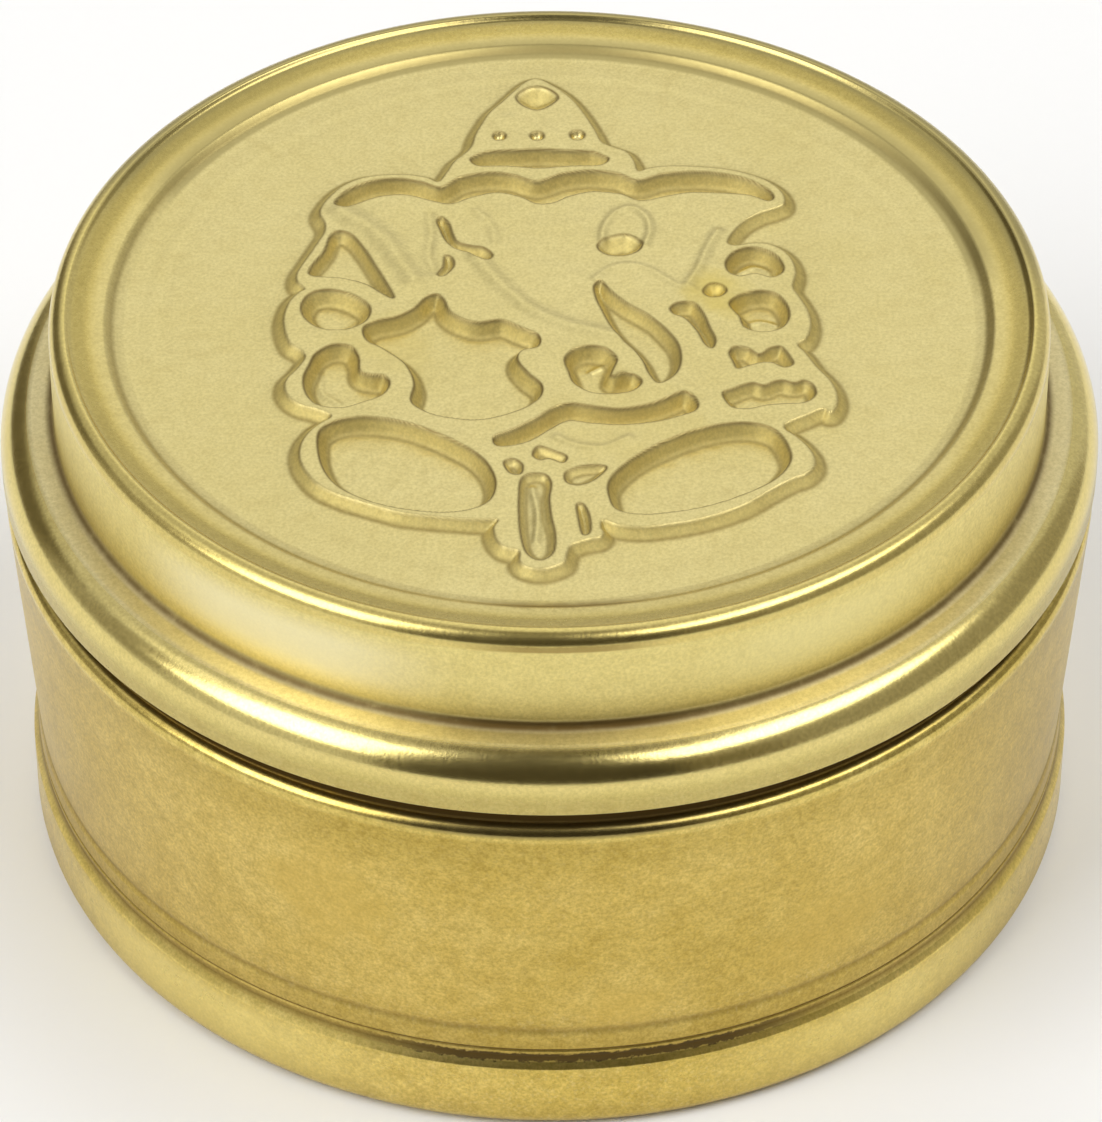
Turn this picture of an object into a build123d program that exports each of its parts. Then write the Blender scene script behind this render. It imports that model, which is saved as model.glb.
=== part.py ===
from build123d import *
import os

# Small round lidded box in thin brass sheet, after the traditional vermilion and
# spice box: a drawn cup with a necked mouth and a spread foot, and a pressed cap
# with a stepped crown and a stamped seated figure with an elephant's head.
# Millimetres, +Z up, origin at the centre of the base, front towards -Y.

# ---------------------------------------------------------------- driving sizes
sheet = 0.60            # sheet thickness of both pieces

# cup
foot_r = 29.38          # largest radius of the foot band
foot_top_z = 4.36       # where the foot band starts to turn in
waist_r = 28.98         # narrowest outside radius, just above the foot
waist_z = 7.05
shoulder_r = 29.90      # widest radius of the wall, under the shoulder
shoulder_z = 22.75      # level of the shoulder
shoulder_round = 0.65
base_round = 1.05       # outside radius between foot band and underside
base_recess_r = 24.60   # underside is dished inside this radius
base_recess = 0.45
neck_r = 29.20          # outside radius of the neck that guides the cap
neck_top_z = 25.90
neck_round = 0.25

# cap
skirt_r = 30.00         # outside radius of the skirt, the widest part of the box
skirt_z = 23.97         # lower edge of the skirt, at rest
bead_z = 25.30          # where the skirt turns into the bead
bead_round = 2.10       # outside radius of the bead's quarter round
drum_r = 27.00          # outside radius of the raised crown
cove_round = 0.50       # cove between bead and crown wall
ledge_rise = 0.10       # the ledge behind the bead climbs this much to the cove
crest_z = 33.50         # highest line of the box
crest_round = 0.85      # outside radius of the crest
slope_out_r = 25.90     # the band between crest and panel
slope_out_z = 33.28
slope_mid_r = 24.95
slope_mid_z = 33.03
slope_in_r = 23.98
slope_in_z = 32.97
fillet_r = 23.55
fillet_z = 32.62
panel_r = 22.90         # flat panel
panel_z = 32.50

# stamped figure
relief_height = 0.60    # figure stands this far above the panel

lift_travel = 40.0      # how far the cap is drawn up to be clear of the neck

# Outline of the stamped figure and of the cells left at panel level inside it,
# x to the right and y to the back, on the panel.
figure_outline = [
    (-0.74, 20.57), (0.05, 20.02), (0.78, 19.27), (1.46, 18.26), (2.02, 17.06), (2.52, 15.77),
    (2.91, 14.68), (3.58, 14.23), (4.3, 13.78), (4.68, 12.96), (4.9, 12.06), (5.57, 12.34), (6.68, 12.53),
    (8.23, 12.47), (9.78, 12.24), (11.14, 11.74), (12.2, 11.04), (12.84, 10.1), (12.93, 9.2),
    (12.47, 8.81), (11.58, 8.36), (10.63, 7.55), (9.95, 6.49), (9.71, 5.69), (10.2, 5.44), (10.97, 5.62),
    (11.84, 5.62), (12.65, 5.11), (13.17, 4.24), (13.36, 3.11), (13.16, 1.9), (13.51, 0.96),
    (13.91, -0.15), (14.04, -1.34), (13.79, -2.44), (13.29, -3.04), (13.65, -3.71), (14.25, -4.96),
    (14.86, -5.95), (15.2, -6.94), (15.22, -7.93), (14.88, -8.67), (14.47, -8.35), (13.5, -8.93),
    (12.48, -9.59), (12.41, -10.08), (12.87, -10.56), (13.43, -11.29), (13.82, -12.17), (13.85, -12.98),
    (13.36, -13.7), (12.67, -14.07), (11.56, -14.91), (9.89, -16.26), (7.69, -17.27), (5.07, -17.87),
    (3.55, -17.72), (2.79, -17.31), (2.62, -17.85), (2.78, -18.3), (2.58, -18.67), (2.03, -18.82), (1.15, -19.25),
    (0.9, -19.87), (0.69, -20.65), (-0.3, -21.13), (-1.15, -20.97), (-1.52, -20.51), (-1.57, -19.73),
    (-2.35, -19.43), (-2.77, -18.73), (-2.89, -17.95), (-2.68, -17.32), (-3.61, -17.29), (-4.59, -17.22),
    (-6.1, -17.04), (-7.56, -16.79), (-8.65, -16.39), (-9.76, -15.91), (-10.75, -15.45), (-11.58, -14.91),
    (-12.14, -14.39), (-12.58, -13.72), (-12.97, -12.88), (-13.12, -11.99), (-12.98, -11.02),
    (-12.54, -10.13), (-12.03, -9.55), (-11.52, -8.97), (-12.39, -8.37), (-13.25, -8), (-13.8, -7.43),
    (-14.06, -6.69), (-13.96, -5.94), (-13.46, -5.11), (-13.06, -4.19), (-13.24, -3.6), (-13.85, -3.02),
    (-14.15, -2.18), (-14.29, -1.33), (-14.27, -0.48), (-14.04, 0.55), (-13.58, 1.33), (-13.26, 1.67),
    (-13.66, 2.27), (-13.72, 2.96), (-13.45, 3.75), (-12.99, 4.88), (-12.64, 5.76), (-12.34, 6.56),
    (-12.31, 7.35), (-12.61, 8.15), (-12.57, 8.77), (-12.11, 9.76), (-11.45, 10.68), (-10.49, 11.36),
    (-9.28, 11.68), (-7.95, 11.72), (-6.84, 11.46), (-6.15, 11.08), (-5.64, 12.06), (-5.26, 12.96),
    (-4.66, 13.7), (-4.3, 14.43), (-4.13, 15.35), (-3.75, 16.45), (-3.31, 17.47), (-2.65, 18.41),
    (-2.03, 19.34), (-1.42, 20.19),
]

relief_cells = {
    "crown_gem": [
        (-1.9, 18.82), (-1.4, 19.52), (-0.7, 19.82), (0, 19.52), (0.5, 18.82), (0.1, 18.12), (-0.7, 17.62),
        (-1.5, 18.02),
    ],
    "crown_band": [
        (-4.4, 13.02), (-4.1, 13.44), (-3.3, 13.84), (-1.8, 13.94), (-0.6, 14.04), (1, 13.94),
        (2.3, 13.84), (3, 13.44), (3.3, 13.12), (2.8, 12.62), (1.2, 12.52), (-0.6, 12.32), (-2.4, 12.52),
        (-3.9, 12.52),
    ],
    "brow": [
        (-11.72, 9.54), (-11.02, 10.46), (-9.8, 11.16), (-8.4, 11.36), (-7.1, 11.08), (-6, 10.6),
        (-4.9, 11.52), (-3.4, 11.92), (-2, 11.72), (-0.7, 11.12), (0.7, 11.82), (2.3, 12.12), (3.8, 11.82),
        (4.9, 11.22), (6.4, 11.82), (8.4, 12), (10.4, 11.58), (11.86, 10.62), (12.36, 9.8), (12.05, 9.4),
        (11, 9.92), (9.3, 10.12), (7.6, 10.12), (6.2, 9.72), (5, 9.42), (3.9, 10.02), (2.4, 10.22),
        (1.1, 9.82), (0.2, 9.22), (-0.7, 9.12), (-1.6, 9.72), (-2.9, 10.12), (-4.3, 9.72), (-5.4, 9.12),
        (-6.6, 9.42), (-8, 9.92), (-9.5, 9.72), (-10.6, 9.12), (-11.3, 8.72), (-11.8, 9.02),
    ],
    "eye_right": [
        (2.6, 5.42), (3.2, 6.12), (4.1, 6.42), (4.8, 6.02), (5.1, 5.42), (4.7, 4.82), (3.9, 4.52),
        (3, 4.72),
    ],
    "eye_left": [
        (-6.2, 7.62), (-5.9, 7.92), (-5.5, 7.32), (-5.3, 6.42), (-5, 5.72), (-4.3, 5.42), (-3.6, 5.22),
        (-3.1, 4.62), (-3.4, 4.12), (-4, 4.32), (-4.5, 4.82), (-5.2, 5.22), (-5.7, 5.92), (-6, 6.82),
    ],
    "ear_nick": [
        (-5.7, 4.52), (-5.3, 4.32), (-5.2, 3.62), (-5.7, 2.82), (-6.1, 2.92), (-5.8, 3.62),
    ],
    "ear_leaf": [
        (-12, 6.28), (-11.5, 6.7), (-10.8, 6.32), (-10.1, 5.12), (-9.5, 3.72), (-8.9, 2.32),
        (-8.4, 0.92), (-9, 1.22), (-10, 2.12), (-11.4, 2.62), (-12.9, 2.82), (-13, 3.5), (-12.32, 4.92),
    ],
    "hand_left_upper": [
        (-13.4, 0.32), (-12.9, 1.32), (-11.9, 1.62), (-10.6, 1.12), (-9.7, 0.12), (-9.9, -1.08),
        (-11, -1.78), (-12.3, -1.68), (-13.2, -0.78),
    ],
    "sweet_left": [
        (-12.82, -4.78), (-12.48, -3.78), (-11.6, -3.08), (-10.6, -3.28), (-10.2, -4.18), (-10.1, -5.28),
        (-9.5, -5.58), (-8.8, -5.68), (-8.5, -6.38), (-8.9, -7.28), (-9.8, -7.78), (-11, -8.28),
        (-12.2, -8.08), (-12.9, -7.18), (-13.1, -5.88),
    ],
    "belly": [
        (-10, -1.68), (-9.3, -1.08), (-8.2, -0.68), (-7.3, 0.02), (-6.7, 0.92), (-6.1, 1.22), (-5.7, 0.72),
        (-5.4, -0.18), (-4.7, -0.88), (-3.8, -1.18), (-2.6, -0.98), (-1.6, -1.58), (-0.6, -2.28),
        (-0.6, -3.18), (-1.5, -3.58), (-1.7, -4.38), (-1.1, -5.48), (-0.4, -6.48), (-0.6, -7.58),
        (-1.8, -8.58), (-3.8, -9.28), (-6, -8.88), (-7.3, -7.88), (-7.2, -6.28), (-7.7, -4.68),
        (-8.9, -3.38), (-9.8, -2.68),
    ],
    "trunk_side": [
        (2.4, 1.92), (2.8, 2.32), (3.3, 1.52), (4.2, 0.42), (5.3, -0.58), (6.2, -1.68), (6.9, -3.08),
        (7, -4.58), (6.6, -5.68), (5.8, -6.28), (5.3, -5.48), (5, -4.48), (4.5, -3.48), (3.7, -2.38),
        (3.2, -1.28), (2.8, -0.08), (2.5, 0.92),
    ],
    "trunk_curl": [
        (0.8, -4.28), (1.3, -3.48), (2.2, -3.18), (3.1, -3.48), (3.6, -4.28), (3.4, -5.08), (3.3, -5.68),
        (3.9, -5.58), (4.5, -5.58), (4.9, -6.18), (4.4, -6.88), (3.3, -7.18), (2.1, -6.98), (1.3, -6.28),
        (1, -5.28),
    ],
    "tusk": [
        (6.5, 0.02), (7, 0.52), (7.8, 0.42), (8.3, -0.48), (8.6, -1.58), (8.9, -2.68), (8.7, -3.38),
        (8.3, -2.98), (7.9, -1.88), (7.3, -0.88), (6.7, -0.48),
    ],
    "bud": [
        (8.3, 1.52), (8.7, 2.12), (9.3, 2.02), (9.6, 1.52), (9.2, 1.02), (8.6, 1.02),
    ],
    "hand_right_1": [
        (9.6, 4.02), (10.1, 4.92), (11, 5.32), (12, 4.92), (12.6, 4.12), (12.7, 3.22), (12.1, 2.72),
        (11.2, 3.02), (10.3, 2.82), (9.7, 3.22),
    ],
    "hand_right_2": [
        (9.7, 0.42), (10.4, 1.22), (11.4, 1.52), (12.3, 1.22), (12.8, 0.32), (12.9, -0.78), (12.4, -1.68),
        (11.4, -1.98), (10.5, -1.58), (10.2, -0.68),
    ],
    "bow_right": [
        (9.6, -3.78), (9.9, -3.28), (10.6, -3.38), (11.2, -3.88), (11.8, -3.38), (12.4, -3.28),
        (12.8, -3.98), (13, -4.68), (12.5, -4.98), (11.9, -4.58), (11.2, -4.58), (10.5, -4.88),
        (10, -5.08), (9.8, -4.48),
    ],
    "fingers_right": [
        (9.2, -7.08), (9.7, -6.78), (10.2, -6.48), (10.8, -6.28), (11.4, -6.48), (11.9, -6.18),
        (12.4, -6.08), (13, -6.28), (13.5, -6.08), (14, -6.48), (14.1, -7.28), (13.5, -7.88),
        (12.5, -7.98), (11.5, -8.08), (10.5, -8.38), (9.7, -8.28), (9.3, -7.68),
    ],
    "sash": [
        (-2.9, -10.68), (-1.9, -10.08), (-0.7, -9.18), (0.3, -8.28), (1.2, -7.98), (2.6, -8.28),
        (4, -8.38), (5.4, -7.98), (6.3, -7.48), (7.1, -6.98), (7.7, -7.48), (7.8, -8.38), (6.8, -8.98),
        (5.4, -9.48), (3.8, -9.68), (2.2, -9.58), (1, -9.38), (0, -10.08), (-1, -10.98), (-2, -11.38),
        (-2.8, -11.38),
    ],
    "knot": [
        (-0.9, -12.18), (-0.6, -11.48), (0.1, -11.78), (0.9, -12.28), (0.7, -12.78), (0, -12.48),
        (-0.5, -12.58),
    ],
    "bead_small": [
        (-2.4, -12.78), (-1.9, -12.48), (-1.4, -12.98), (-1.5, -13.68), (-2.1, -13.58),
    ],
    "buckle": [
        (0.8, -13.68), (1.4, -13.18), (2.3, -12.98), (3, -13.18), (2.4, -14.08), (1.6, -14.58),
        (0.9, -14.38),
    ],
    "drape": [
        (-1.5, -14.18), (-1, -13.68), (-0.2, -13.78), (0.1, -14.48), (0, -15.68), (0.1, -17.08),
        (0.3, -18.48), (0.2, -19.88), (-0.5, -20.48), (-1.2, -19.88), (-1.5, -18.48), (-1.6, -16.88),
        (-1.6, -15.48),
    ],
    "drape_slit": [
        (1.4, -16.18), (1.8, -16.18), (2.1, -17.18), (2.1, -18.28), (1.7, -18.48), (1.5, -17.38),
    ],
    "thigh_left": [
        (-12.2, -10.68), (-11.8, -9.78), (-10.7, -9.18), (-9.4, -9.08), (-8, -9.38), (-6.6, -9.98),
        (-5.2, -10.88), (-3.9, -11.98), (-3.1, -13.18), (-2.8, -14.58), (-3.2, -15.88), (-4.4, -16.58),
        (-6.2, -16.68), (-8.2, -16.28), (-10, -15.48), (-11.3, -14.28), (-12, -12.68),
    ],
    "thigh_right": [
        (3.1, -14.28), (3.8, -13.08), (5.2, -11.68), (7, -10.48), (9, -9.68), (10.7, -9.58),
        (11.9, -10.18), (12.5, -11.38), (12.6, -12.68), (11.8, -14.08), (10.3, -15.18), (8.5, -16.08),
        (6.5, -16.68), (4.7, -16.88), (3.5, -16.48), (3.1, -15.48),
    ],
}

crown_dots = [(-2.8, 15.22, 0.4), (-0.7, 15.22, 0.42), (1.55, 15.32, 0.45)]


# ---------------------------------------------------------------- cup
inner_wall_top_r = shoulder_r - sheet
inner_waist_r = waist_r - sheet
neck_inner_r = neck_r - sheet
foot_inner_r = foot_r - sheet

with BuildPart() as box_body:
    with BuildSketch(Plane.XZ) as body_section:
        with BuildLine() as body_line:
            # underside: dished middle, then the flat ring it stands on
            Polyline(
                (0, base_recess),
                (base_recess_r - 0.60, base_recess),
                (base_recess_r, 0),
                (foot_r - base_round, 0),
            )
            CenterArc((foot_r - base_round, base_round), base_round, -90, 90)
            # foot band, its shoulder and the two turned lines above it
            Polyline(
                (foot_r, base_round),
                (foot_r, foot_top_z - 0.12),
                (foot_r - 0.05, foot_top_z),
                (waist_r + 0.09, foot_top_z + 0.38),
                (waist_r + 0.06, foot_top_z + 0.50),
                (waist_r + 0.05, foot_top_z + 0.92),
                (waist_r - 0.01, foot_top_z + 1.01),
                (waist_r + 0.04, foot_top_z + 1.10),
                (waist_r + 0.04, waist_z - 0.45),
                (waist_r - 0.03, waist_z - 0.25),
                (waist_r, waist_z),
                (shoulder_r, shoulder_z - shoulder_round),
            )
            # rounded shoulder and the neck
            CenterArc((shoulder_r - shoulder_round, shoulder_z - shoulder_round), shoulder_round, 0, 90)
            Polyline(
                (shoulder_r - shoulder_round, shoulder_z),
                (neck_r, shoulder_z + 0.02),
                (neck_r, neck_top_z - neck_round),
            )
            CenterArc((neck_r - neck_round, neck_top_z - neck_round), neck_round, 0, 90)
            Line((neck_r - neck_round, neck_top_z), (neck_inner_r + neck_round, neck_top_z))
            CenterArc((neck_inner_r + neck_round, neck_top_z - neck_round), neck_round, 90, 90)
            # inside face, down to the floor
            Polyline(
                (neck_inner_r, neck_top_z - neck_round),
                (neck_inner_r, shoulder_z - 0.55),
                (inner_wall_top_r, shoulder_z - 1.25),
                (inner_waist_r, waist_z + 0.10),
                (inner_waist_r, foot_top_z + 0.45),
                (foot_inner_r, foot_top_z - 0.20),
                (foot_inner_r, base_round),
            )
            CenterArc((foot_r - base_round, base_round), base_round - sheet, 0, -90)
            Polyline(
                (foot_r - base_round, sheet),
                (base_recess_r + 0.25, sheet),
                (base_recess_r - 0.35, base_recess + sheet),
                (0, base_recess + sheet),
                (0, base_recess),
            )
        make_face()
    revolve(axis=Axis.Z)

box_body.part.label = "box_body"

# ---------------------------------------------------------------- cap
bead_centre_r = skirt_r - bead_round
bead_top_z = bead_z + bead_round
drum_inner_r = drum_r - sheet
cove_r = drum_r + cove_round
ledge_z = bead_top_z + ledge_rise

with BuildPart() as lid:
    with BuildSketch(Plane.XZ) as lid_section:
        with BuildLine() as lid_line:
            Polyline(
                (0, panel_z),
                (panel_r, panel_z),
                (fillet_r, fillet_z),
                (slope_in_r, slope_in_z),
                (slope_mid_r, slope_mid_z),
                (slope_out_r, slope_out_z),
                (drum_r - crest_round, crest_z),
            )
            CenterArc((drum_r - crest_round, crest_z - crest_round), crest_round, 90, -90)
            Line((drum_r, crest_z - crest_round), (drum_r, ledge_z + cove_round))
            CenterArc((cove_r, ledge_z + cove_round), cove_round, 180, 90)
            bead_arc = CenterArc((bead_centre_r, bead_z), bead_round, 80, -80)
            Line((cove_r, ledge_z), bead_arc @ 0)
            Polyline(
                (skirt_r, bead_z),
                (skirt_r, skirt_z + 0.12),
                (skirt_r - 0.12, skirt_z),
                (skirt_r - sheet + 0.08, skirt_z),
                (skirt_r - sheet, skirt_z + 0.08),
                (skirt_r - sheet, bead_z),
            )
            CenterArc((bead_centre_r, bead_z), bead_round - sheet, 0, 90)
            Polyline(
                (bead_centre_r, bead_top_z - sheet),
                (drum_inner_r + 0.30, bead_top_z - sheet),
                (drum_inner_r, bead_top_z - sheet + 0.35),
                (drum_inner_r, crest_z - crest_round),
            )
            CenterArc((drum_r - crest_round, crest_z - crest_round), crest_round - sheet, 0, 90)
            Polyline(
                (drum_r - crest_round, crest_z - sheet),
                (slope_out_r - 0.03, slope_out_z - sheet),
                (slope_mid_r, slope_mid_z - sheet),
                (slope_in_r + 0.22, slope_in_z - sheet),
                (fillet_r + 0.25, fillet_z - sheet - 0.04),
                (panel_r + 0.05, panel_z - sheet),
                (0, panel_z - sheet),
                (0, panel_z),
            )
        make_face()
    revolve(axis=Axis.Z)
    # the figure stands proud of the panel, with its cells left at panel level
    with BuildSketch(Plane.XY.offset(panel_z - 0.10)) as figure_sketch:
        with BuildLine() as outline_line:
            Spline(*figure_outline, periodic=True)
        make_face()
        for cell in relief_cells.values():
            with BuildLine() as cell_line:
                Spline(*cell, periodic=True)
            make_face(mode=Mode.SUBTRACT)
        for x, y, r in crown_dots:
            with Locations((x, y)):
                Circle(r, mode=Mode.SUBTRACT)
    extrude(amount=relief_height + 0.10)

lid.part.label = "lid"

# ---------------------------------------------------------------- files
os.makedirs("parts", exist_ok=True)
export_step(box_body.part, "parts/box_body.step")
export_step(lid.part, "parts/lid.step")
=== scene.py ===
import bpy
import math
import numpy as np
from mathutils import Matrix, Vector


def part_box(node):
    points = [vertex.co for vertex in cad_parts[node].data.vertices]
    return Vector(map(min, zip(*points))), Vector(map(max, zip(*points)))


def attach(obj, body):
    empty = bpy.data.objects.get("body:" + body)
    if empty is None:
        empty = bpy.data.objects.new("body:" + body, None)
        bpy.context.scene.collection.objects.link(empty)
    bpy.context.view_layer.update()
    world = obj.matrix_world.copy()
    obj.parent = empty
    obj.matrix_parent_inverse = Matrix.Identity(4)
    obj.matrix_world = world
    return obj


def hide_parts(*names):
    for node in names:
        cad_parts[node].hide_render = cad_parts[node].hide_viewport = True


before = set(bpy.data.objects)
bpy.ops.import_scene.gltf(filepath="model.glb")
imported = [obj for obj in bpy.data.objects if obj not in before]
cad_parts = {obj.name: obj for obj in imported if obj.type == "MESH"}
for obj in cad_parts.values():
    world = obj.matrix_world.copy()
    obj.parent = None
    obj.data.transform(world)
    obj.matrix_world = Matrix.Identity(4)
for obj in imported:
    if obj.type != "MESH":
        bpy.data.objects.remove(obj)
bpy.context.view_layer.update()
MM = 0.001

# ------------------------------------------------------------------ sizes, mm
# They are the CAD part's own driving sizes, read here against its boxes.
cup_low, cup_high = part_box("box_body")
lid_low, lid_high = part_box("lid")
SKIRT_R = lid_high.x / MM            # widest radius, over the skirt
SKIRT_Z = lid_low.z / MM             # lower edge of the skirt
CREST_Z = lid_high.z / MM            # highest line of the box
NECK_TOP = cup_high.z / MM
SHOULDER_R = cup_high.x / MM
SHEET = 0.60
DRUM_R = 27.00
BEAD_Z, BEAD_R = 25.30, 2.10
PANEL_Z, PANEL_R = 32.50, 22.70      # the stamped part of the panel ends at PANEL_R, still flat
RELIEF = 0.60                        # top of the figure over the panel
SUNK = 0.24                          # floor of the cells under the panel
WALL = 0.60                          # plan width of a cell's pressed wall
FOOT = 0.57                          # plan width of the wall outside the figure
SEG = 360                            # facets round every turned surface
RINGS = 264                          # rings of the stamped panel

# ------------------------------------------------------------------ the figure
# Outline of the stamped figure and of the cells pressed back to panel level, mm.
figure_outline = [
    (-0.74, 20.57), (0.05, 20.02), (0.78, 19.27), (1.46, 18.26), (2.02, 17.06), (2.52, 15.77),
    (2.91, 14.68), (3.58, 14.23), (4.3, 13.78), (4.68, 12.96), (4.9, 12.06), (5.57, 12.34), (6.68, 12.53),
    (8.23, 12.47), (9.78, 12.24), (11.14, 11.74), (12.2, 11.04), (12.84, 10.1), (12.93, 9.2),
    (12.47, 8.81), (11.58, 8.36), (10.63, 7.55), (9.95, 6.49), (9.71, 5.69), (10.2, 5.44), (10.97, 5.62),
    (11.84, 5.62), (12.65, 5.11), (13.17, 4.24), (13.36, 3.11), (13.16, 1.9), (13.51, 0.96),
    (13.91, -0.15), (14.04, -1.34), (13.79, -2.44), (13.29, -3.04), (13.65, -3.71), (14.25, -4.96),
    (14.86, -5.95), (15.2, -6.94), (15.22, -7.93), (14.88, -8.67), (14.47, -8.35), (13.5, -8.93),
    (12.48, -9.59), (12.41, -10.08), (12.87, -10.56), (13.43, -11.29), (13.82, -12.17), (13.85, -12.98),
    (13.36, -13.7), (12.67, -14.07), (11.56, -14.91), (9.89, -16.26), (7.69, -17.27), (5.07, -17.87),
    (3.55, -17.72), (2.79, -17.31), (2.62, -17.85), (2.78, -18.3), (2.58, -18.67), (2.03, -18.82), (1.15, -19.25),
    (0.9, -19.87), (0.69, -20.65), (-0.3, -21.13), (-1.15, -20.97), (-1.52, -20.51), (-1.57, -19.73),
    (-2.35, -19.43), (-2.77, -18.73), (-2.89, -17.95), (-2.68, -17.32), (-3.61, -17.29), (-4.59, -17.22),
    (-6.1, -17.04), (-7.56, -16.79), (-8.65, -16.39), (-9.76, -15.91), (-10.75, -15.45), (-11.58, -14.91),
    (-12.14, -14.39), (-12.58, -13.72), (-12.97, -12.88), (-13.12, -11.99), (-12.98, -11.02),
    (-12.54, -10.13), (-12.03, -9.55), (-11.52, -8.97), (-12.39, -8.37), (-13.25, -8), (-13.8, -7.43),
    (-14.06, -6.69), (-13.96, -5.94), (-13.46, -5.11), (-13.06, -4.19), (-13.24, -3.6), (-13.85, -3.02),
    (-14.15, -2.18), (-14.29, -1.33), (-14.27, -0.48), (-14.04, 0.55), (-13.58, 1.33), (-13.26, 1.67),
    (-13.66, 2.27), (-13.72, 2.96), (-13.45, 3.75), (-12.99, 4.88), (-12.64, 5.76), (-12.34, 6.56),
    (-12.31, 7.35), (-12.61, 8.15), (-12.57, 8.77), (-12.11, 9.76), (-11.45, 10.68), (-10.49, 11.36),
    (-9.28, 11.68), (-7.95, 11.72), (-6.84, 11.46), (-6.15, 11.08), (-5.64, 12.06), (-5.26, 12.96),
    (-4.66, 13.7), (-4.3, 14.43), (-4.13, 15.35), (-3.75, 16.45), (-3.31, 17.47), (-2.65, 18.41),
    (-2.03, 19.34), (-1.42, 20.19),
]

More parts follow.
